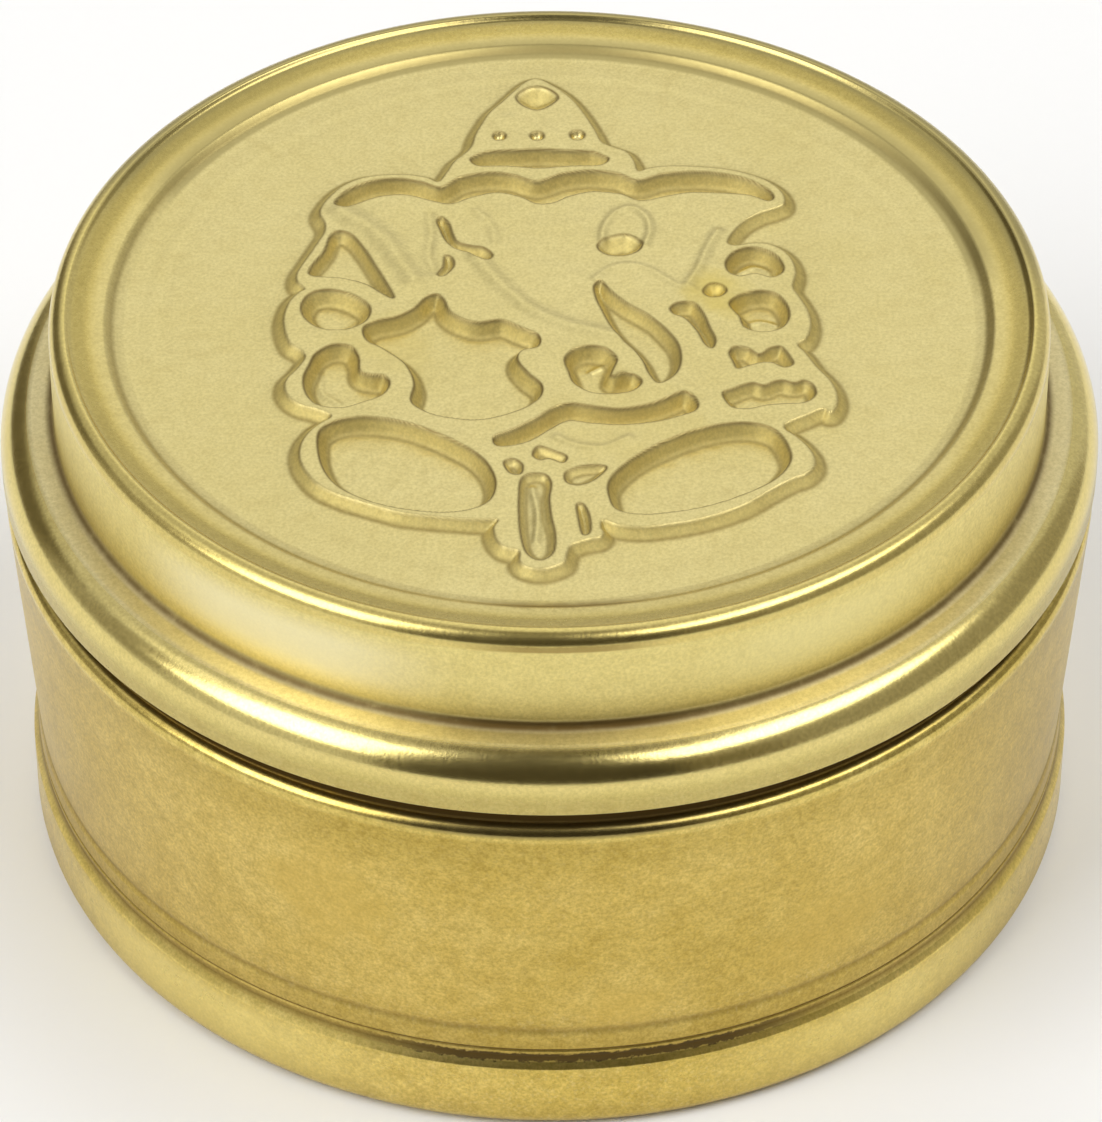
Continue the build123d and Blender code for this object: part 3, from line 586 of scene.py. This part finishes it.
# ------------------------------------------------------------------ materials
class Nodes:
    """Short hand for a node tree."""

    def __init__(self, tree):
        self.tree = tree
        tree.nodes.clear()

    def new(self, kind, **values):
        node = self.tree.nodes.new(kind)
        for key, value in values.items():
            setattr(node, key, value)
        return node

    def link(self, out, into):
        self.tree.links.new(out, into)

    def put(self, value, socket):
        if isinstance(value, (int, float)):
            socket.default_value = value
        elif isinstance(value, (tuple, list)):
            socket.default_value = tuple(value) if len(value) != 3 or len(socket.default_value) == 3 else (*value, 1.0)
        else:
            self.link(value, socket)

    def math(self, op, a, b=None, c=None, clamp=False):
        node = self.new("ShaderNodeMath", operation=op, use_clamp=clamp)
        for k, v in enumerate((a, b, c)):
            if v is not None:
                self.put(v, node.inputs[k])
        return node.outputs[0]

    def step(self, value, low, high, to_low=0.0, to_high=1.0):
        node = self.new("ShaderNodeMapRange", interpolation_type="SMOOTHSTEP")
        for k, v in enumerate((value, low, high, to_low, to_high)):
            self.put(v, node.inputs[k])
        return node.outputs[0]

    def window(self, value, a, b, soft_a, soft_b=None):
        soft_b = soft_a if soft_b is None else soft_b
        up = self.step(value, a - soft_a, a + soft_a)
        down = self.step(value, b - soft_b, b + soft_b, 1.0, 0.0)
        return self.math("MULTIPLY", up, down)

    def mix(self, amount, a, b, kind="MIX"):
        node = self.new("ShaderNodeMix", data_type="RGBA", blend_type=kind)
        self.put(amount, node.inputs[0])
        self.put(a, node.inputs[6])
        self.put(b, node.inputs[7])
        return node.outputs[2]

    def noise(self, vector, scale, detail=2.0, rough=0.5, offset=0.0):
        if offset:
            move = self.new("ShaderNodeVectorMath", operation="ADD")
            self.link(vector, move.inputs[0])
            move.inputs[1].default_value = (offset, offset * 0.37, -offset)
            vector = move.outputs[0]
        node = self.new("ShaderNodeTexNoise", noise_dimensions="3D")
        self.link(vector, node.inputs["Vector"])
        node.inputs["Scale"].default_value = scale
        node.inputs["Detail"].default_value = detail
        node.inputs["Roughness"].default_value = rough
        return node.outputs[0]

    def vector(self, x, y, z):
        node = self.new("ShaderNodeCombineXYZ")
        for k, v in enumerate((x, y, z)):
            self.put(v, node.inputs[k])
        return node.outputs[0]


def brass(name, zones, stains, streaks, light_and_shade_bands=(), uneven=1.0, grit=1.0, from_r=0.0):
    """Drawn sheet brass. zones: (value name 'r' or 'z', low, high, soft, base colour, roughness) laid over each other."""
    mat = bpy.data.materials.new(name)
    mat.use_nodes = True
    n = Nodes(mat.node_tree)
    out = n.new("ShaderNodeOutputMaterial")
    bsdf = n.new("ShaderNodeBsdfPrincipled")
    n.link(bsdf.outputs[0], out.inputs[0])
    coord = n.new("ShaderNodeTexCoord").outputs["Object"]
    cut = n.new("ShaderNodeSeparateXYZ")
    n.link(coord, cut.inputs[0])
    x, y, z = cut.outputs
    r = n.math("SQRT", n.math("ADD", n.math("MULTIPLY", x, x), n.math("MULTIPLY", y, y)))
    grime = n.new("ShaderNodeAttribute", attribute_name="grime").outputs["Fac"]
    steep = n.new("ShaderNodeAttribute", attribute_name="steep").outputs["Fac"]

    # slow patches, mottle and grain
    patch = n.noise(coord, 95.0, 2.0, 0.55, 0.31)
    cloud = n.noise(coord, 320.0, 3.0, 0.6, 1.7)
    mottle = n.noise(coord, 1300.0, 3.0, 0.65, 2.9)
    grain = n.noise(coord, 5200.0, 2.0, 0.7, 4.1)
    # marks left round the axis by drawing and turning: long round the wall, short up it
    ux = n.math("DIVIDE", x, n.math("MAXIMUM", r, 0.001))
    uy = n.math("DIVIDE", y, n.math("MAXIMUM", r, 0.001))
    round_dir = n.vector(n.math("MULTIPLY", ux, 0.030), n.math("MULTIPLY", uy, 0.030), n.math("ADD", z, n.math("MULTIPLY", r, 0.83)))
    turned = n.noise(round_dir, 900.0, 3.0, 0.7, 5.3)
    turned_fine = n.noise(round_dir, 4200.0, 2.0, 0.6, 6.1)
    # marks up the wall
    up_dir = n.vector(ux, uy, n.math("MULTIPLY", z, 4.0))
    upward = n.noise(up_dir, 42.0, 3.0, 0.65, 7.7)

    colour, rough = None, None
    for axis, low, high, soft, base, value in zones:
        if colour is None:
            colour, rough = (*base, 1.0), value
            continue
        if axis == "outside":   # by level, on the outer face of the neck only
            mask = n.math("MULTIPLY", n.window(z, low * MM, high * MM, soft * MM, 0.9 * MM), n.step(r, 28.95 * MM, 29.12 * MM))
        else:
            mask = n.window(r if axis == "r" else z, low * MM, high * MM, soft * MM)
        colour = n.mix(mask, colour, (*base, 1.0))
        rough = n.math("ADD", n.math("MULTIPLY", n.math("SUBTRACT", 1.0, mask), rough), n.math("MULTIPLY", mask, value))

    def shade(colour, source, low, high, dark, light):
        f = n.step(source, low, high)
        return n.mix(1.0, colour, n.mix(f, (dark[0], dark[1], dark[2], 1.0), (light[0], light[1], light[2], 1.0)), "MULTIPLY")

    def about_one(*values):
        return tuple(1 + (v - 1) * uneven for v in values)

    colour = shade(colour, patch, 0.34, 0.66, about_one(0.985, 0.98, 0.955), about_one(1.01, 1.01, 1.02))
    colour = shade(colour, cloud, 0.32, 0.68, about_one(0.990, 0.985, 0.965), about_one(1.008, 1.008, 1.015))
    colour = shade(colour, mottle, 0.30, 0.70, about_one(0.975, 0.97, 0.95), about_one(1.018, 1.018, 1.02))
    fine_dark, fine_light = ([1 + (v - 1) * grit for v in side] for side in ((0.885, 0.88, 0.84), (1.075, 1.075, 1.08)))
    colour = shade(colour, grain, 0.25, 0.75, fine_dark, fine_light)
    # pressed walls are duller, and their colour is darkened as painted shade
    colour = n.mix(steep, colour, n.mix(1.0, colour, (0.86, 0.85, 0.78, 1.0), "MULTIPLY"))
    for axis, low, high, soft, amount in streaks:
        mask = n.window(r if axis == "r" else z, low * MM, high * MM, soft * MM)
        f = n.math("MULTIPLY", mask, n.math("MULTIPLY", n.step(turned, 0.44, 0.74), amount))
        colour = n.mix(f, colour, (0.40, 0.27, 0.055, 1.0))
        f = n.math("MULTIPLY", mask, n.math("MULTIPLY", n.step(turned_fine, 0.50, 0.78), amount * 0.6))
        colour = n.mix(f, colour, (0.95, 0.85, 0.50, 1.0))
    for sx, sy, sz, reach, tint, amount in stains:
        d = n.new("ShaderNodeVectorMath", operation="DISTANCE")
        n.link(coord, d.inputs[0])
        d.inputs[1].default_value = (sx * MM, sy * MM, sz * MM)
        away = n.math("ADD", d.outputs["Value"], n.math("MULTIPLY", n.math("SUBTRACT", cloud, 0.5), reach * 1.6 * MM))
        f = n.math("MULTIPLY", n.step(away, reach * 0.25 * MM, reach * MM, 1.0, 0.0), amount)
        colour = n.mix(f, colour, (*tint, 1.0))

    # painted light and shade: lighter or darker lengths round the wall, by angle from the front and by level
    angle = n.math("MULTIPLY", n.math("ARCTAN2", x, n.math("MULTIPLY", y, -1.0)), 180 / math.pi)
    for a0, a1, soft, z0, z1, soft_z, tint, amount, ragged in light_and_shade_bands:
        level = n.math("ADD", z, n.math("MULTIPLY", n.math("SUBTRACT", n.math("ADD", n.math("MULTIPLY", mottle, 0.6), n.math("MULTIPLY", grain, 0.4)), 0.5), ragged * MM))
        f = n.math("MULTIPLY", n.window(angle, a0, a1, soft), n.window(level, z0 * MM, z1 * MM, soft_z * MM))
        f = n.math("MULTIPLY", f, n.step(r, (from_r - 0.15) * MM, from_r * MM + 0.15 * MM))
        colour = n.mix(n.math("MULTIPLY", f, amount), colour, (*tint, 1.0))

    # dirt and painted shade in the corners and along the edges: broken up, dark brown, dull
    broken = n.math("MULTIPLY", grime, n.step(n.math("ADD", n.math("MULTIPLY", mottle, 0.6), n.math("MULTIPLY", cloud, 0.4)), 0.26, 0.52, 0.70, 1.0), clamp=True)
    colour = n.mix(n.math("MULTIPLY", broken, 0.92), colour, (0.135, 0.080, 0.020, 1.0))
    rough = n.math("ADD", rough, n.math("MULTIPLY", broken, 0.25))
    rough = n.math("ADD", rough, n.math("MULTIPLY", steep, 0.24))
    rough = n.math("ADD", rough, n.math("MULTIPLY", n.math("SUBTRACT", mottle, 0.5), 0.06))
    rough = n.math("ADD", rough, n.math("MULTIPLY", n.math("SUBTRACT", turned, 0.5), 0.03))
    rough = n.math("MINIMUM", n.math("MAXIMUM", rough, 0.12), 0.9)

    height = n.math("ADD", n.math("MULTIPLY", grain, 0.35), n.math("ADD", n.math("MULTIPLY", mottle, 1.0), n.math("MULTIPLY", turned_fine, 0.15)))
    bump = n.new("ShaderNodeBump")
    bump.inputs["Strength"].default_value = 0.35
    bump.inputs["Distance"].default_value = 0.00002
    n.link(height, bump.inputs["Height"])

    n.put(colour, bsdf.inputs["Base Color"])
    bsdf.inputs["Metallic"].default_value = 1.0
    n.put(rough, bsdf.inputs["Roughness"])
    n.link(bump.outputs[0], bsdf.inputs["Normal"])
    return mat


lid = build_lid()
cup = build_cup()
lid.data.materials.append(brass(
    "lid_sheet_brass",
    zones=[("r", 0, 0, 0, (0.77, 0.64, 0.245), 0.19),
           ("z", 27.85, 33.0, 0.20, (0.815, 0.70, 0.28), 0.42),
           ("z", 23.9, 25.5, 0.35, (0.69, 0.575, 0.205), 0.23),
           ("r", 27.12, 28.45, 0.14, (0.80, 0.70, 0.38), 0.44),
           ("z", 32.5, 34.0, 0.12, (0.73, 0.60, 0.215), 0.24),
           ("r", -50.0, 25.75, 0.25, (0.63, 0.505, 0.16), 0.27),
           ("r", -50.0, 24.65, 0.40, (0.76, 0.64, 0.26), 0.34),
           ("r", -50.0, 23.55, 0.28, (0.80, 0.69, 0.31), 0.40),
           # painted shade under the lower edge of the skirt
           ("z", 23.0, 24.03, 0.05, (0.10, 0.065, 0.025), 0.50)],
    stains=[(9.0, 1.5, 33.1, 2.6, (0.74, 0.58, 0.13), 0.55), (-9.0, -3.0, 32.5, 4.0, (0.74, 0.60, 0.20), 0.3),
            (4.0, -9.0, 32.5, 5.0, (0.74, 0.60, 0.20), 0.25)],
    # painted light and shade: painted highlights on the drum at front left and front right, painted shade along the
    # cove and the panel edge at the front, and on the slope and crest at the back
    light_and_shade_bands=[(-47, -17, 9, 28.6, 31.9, 0.9, (0.96, 0.89, 0.58), 0.75, 0.0), (20, 44, 9, 28.6, 31.9, 0.9, (0.92, 0.84, 0.42), 0.45, 0.0),
             (-12, 15, 7, 27.46, 27.86, 0.10, (0.16, 0.105, 0.035), 0.85, 0.0),
             (-7, 10, 5, 32.56, 32.92, 0.07, (0.30, 0.21, 0.065), 0.75, 0.2),
             (-200, -116, 5, 32.53, 33.00, 0.03, (0.48, 0.40, 0.155), 0.75, 0.0), (98, 200, 5, 32.53, 33.00, 0.03, (0.48, 0.40, 0.155), 0.75, 0.0),
             (-200, -112, 9, 33.22, 33.70, 0.06, (0.40, 0.335, 0.135), 0.75, 0.0), (94, 200, 9, 33.22, 33.70, 0.06, (0.40, 0.335, 0.135), 0.75, 0.0),
             (-148, -118, 7, 32.95, 33.40, 0.08, (0.46, 0.37, 0.12), 0.40, 0.3), (100, 134, 7, 32.95, 33.40, 0.08, (0.46, 0.37, 0.12), 0.40, 0.3)],
    from_r=23.12,
    streaks=[("z", 27.0, 33.2, 0.4, 0.10), ("z", 23.5, 25.0, 0.4, 0.20)],
))
cup.data.materials.append(brass(
    "cup_sheet_brass",
    uneven=3.8,
    grit=1.7,
    zones=[("z", 0, 0, 0, (0.65, 0.50, 0.145), 0.33),
           ("z", 19.8, 22.7, 1.4, (0.57, 0.435, 0.115), 0.30),
           ("z", 21.9, 22.7, 0.20, (0.70, 0.56, 0.175), 0.22),
           # painted shade: the neck under the cap's skirt is made near black
           ("outside", 22.86, 24.3, 0.06, (0.060, 0.037, 0.013), 0.60),
           ("z", -1.0, 5.2, 0.15, (0.735, 0.585, 0.18), 0.28)],
    # painted light and shade: painted shade on the shoulder and in the foot crease at the front, painted highlights on
    # the foot at front left and front right
    light_and_shade_bands=[(-15, 16, 8, 22.20, 22.90, 0.12, (0.30, 0.235, 0.09), 0.80, 0.0), (-17, 26, 8, 4.93, 5.44, 0.07, (0.060, 0.048, 0.022), 0.97, 0.9), (-62, -24, 14, 0.6, 4.3, 0.6, (0.95, 0.82, 0.33), 0.55, 0.5),
             (24, 62, 14, 0.6, 4.3, 0.6, (0.90, 0.77, 0.30), 0.45, 0.5)],
    stains=[(-12.0, -27.0, 15.0, 5.0, (0.66, 0.47, 0.11), 0.35), (15.0, -25.0, 11.0, 5.0, (0.66, 0.47, 0.11), 0.3),
            (4.0, -29.0, 8.6, 3.0, (0.66, 0.47, 0.11), 0.35)],
    streaks=[("z", 0.3, 4.6, 0.4, 0.30), ("z", 6.5, 8.5, 0.8, 0.30), ("z", 9.0, 22.0, 1.0, 0.12)],
))
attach(lid, "cap")
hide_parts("lid")
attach(cup, "body")
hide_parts("box_body")


# ------------------------------------------------------------------ floor and light
floor_mesh = bpy.data.meshes.new("floor")
floor_mesh.from_pydata([(-4, -4, -2e-5), (4, -4, -2e-5), (4, 4, -2e-5), (-4, 4, -2e-5)], [], [(0, 1, 2, 3)])
floor_mesh.update()
floor = bpy.data.objects.new("floor", floor_mesh)
bpy.context.scene.collection.objects.link(floor)
paper = bpy.data.materials.new("paper")
paper.use_nodes = True
pn = Nodes(paper.node_tree)
p_out = pn.new("ShaderNodeOutputMaterial")
p_bsdf = pn.new("ShaderNodeBsdfPrincipled")
pn.link(p_bsdf.outputs[0], p_out.inputs[0])
p_coord = pn.new("ShaderNodeTexCoord").outputs["Object"]
fibre = pn.noise(p_coord, 900.0, 3.0, 0.6)
pn.put(pn.mix(fibre, (0.945, 0.945, 0.943, 1.0), (0.960, 0.960, 0.958, 1.0)), p_bsdf.inputs["Base Color"])
p_bsdf.inputs["Roughness"].default_value = 0.9
p_bsdf.inputs["Specular IOR Level"].default_value = 0.1
floor_mesh.materials.append(paper)

world = bpy.data.worlds.new("studio")
bpy.context.scene.world = world
world.use_nodes = True
w = Nodes(world.node_tree)
w_out = w.new("ShaderNodeOutputWorld")
back = w.new("ShaderNodeBackground")
way = w.new("ShaderNodeTexCoord").outputs["Generated"]
split = w.new("ShaderNodeSeparateXYZ")
w.link(way, split.inputs[0])
wx, wy, wz = split.outputs
DEG = 180 / math.pi
el = w.math("MULTIPLY", w.math("ARCSINE", wz), DEG)
az = w.math("MULTIPLY", w.math("ARCTAN2", wx, w.math("MULTIPLY", wy, -1.0)), DEG)   # 0 in front, 90 at +X


def lamp(a0, a1, sa, e0, e1, se, value, sa2=None, se2=None):
    return w.math("MULTIPLY", w.math("MULTIPLY", w.window(az, a0, a1, sa, sa2), w.window(el, e0, e1, se, se2)), value)


light = w.math("ADD", 0.64, lamp(-82, -36.5, 2.5, 27, 66, 5, 3.6))
light = w.math("ADD", light, lamp(-112, -80, 6, 47, 72, 6, 0.6))
light = w.math("ADD", light, lamp(27, 112, 2.0, 48, 71, 3.5, 3.5, sa2=15))
# (from, to, edge) across, (from, to, lower edge, upper edge) up, what is left of the light
for a0, a1, sa, e0, e1, se, se2, keep in [(-32, 25, 3, -24, 84, 8, 5, 0.10), (18, 130, 3, -8, 48, 8, 5, 0.55), (18, 45, 4, -20, 34, 8, 8, 0.60),
                                          (-104, -76, 6, 5, 44, 6, 6, 0.50), (-155, -108, 8, -6, 34, 6, 6, 0.22)]:
    dim = w.math("MULTIPLY", w.window(az, a0, a1, sa), w.window(el, e0, e1, se, se2))
    light = w.math("MULTIPLY", light, w.math("SUBTRACT", 1.0, w.math("MULTIPLY", dim, 1 - keep)))
# nothing bright hangs straight above
light = w.math("MULTIPLY", light, w.step(el, 73, 84, 1.0, 0.22))
behind = w.step(w.math("ABSOLUTE", az), 154, 176)
light = w.math("ADD", light, w.math("MULTIPLY", behind, w.math("MULTIPLY", w.window(el, 30, 72, 8), 0.50)))
# the dark parts of the room are warm
shine = w.mix(w.step(light, 0.0, 0.60), (1.0, 0.86, 0.58, 1.0), (1.0, 1.0, 1.0, 1.0))
tinted = w.new("ShaderNodeVectorMath", operation="SCALE")
w.link(shine, tinted.inputs[0])
w.link(light, tinted.inputs["Scale"])
seen = w.new("ShaderNodeLightPath").outputs["Is Camera Ray"]
w.put(w.mix(seen, tinted.outputs[0], (0.98, 0.98, 0.98, 1.0)), back.inputs[0])
w.link(back.outputs[0], w_out.inputs[0])

# ------------------------------------------------------------------ camera
cam_data = bpy.data.cameras.new("camera")
camera = bpy.data.objects.new("camera", cam_data)
bpy.context.scene.collection.objects.link(camera)
TILT = math.radians(41.55)
camera.location = (0.0, -0.330 * math.cos(TILT), 0.015 + 0.330 * math.sin(TILT))
camera.rotation_euler = (math.radians(90) - TILT, 0, 0)
cam_data.sensor_width = 36.0
cam_data.sensor_fit = "AUTO"
cam_data.lens = 5896.85 * 36.0 / 1122.0
cam_data.shift_x = 1.5 / 1122.0
cam_data.shift_y = -2.0 / 1122.0
cam_data.clip_start = 0.01
bpy.context.scene.camera = camera
bpy.context.scene.view_settings.view_transform = "Standard"
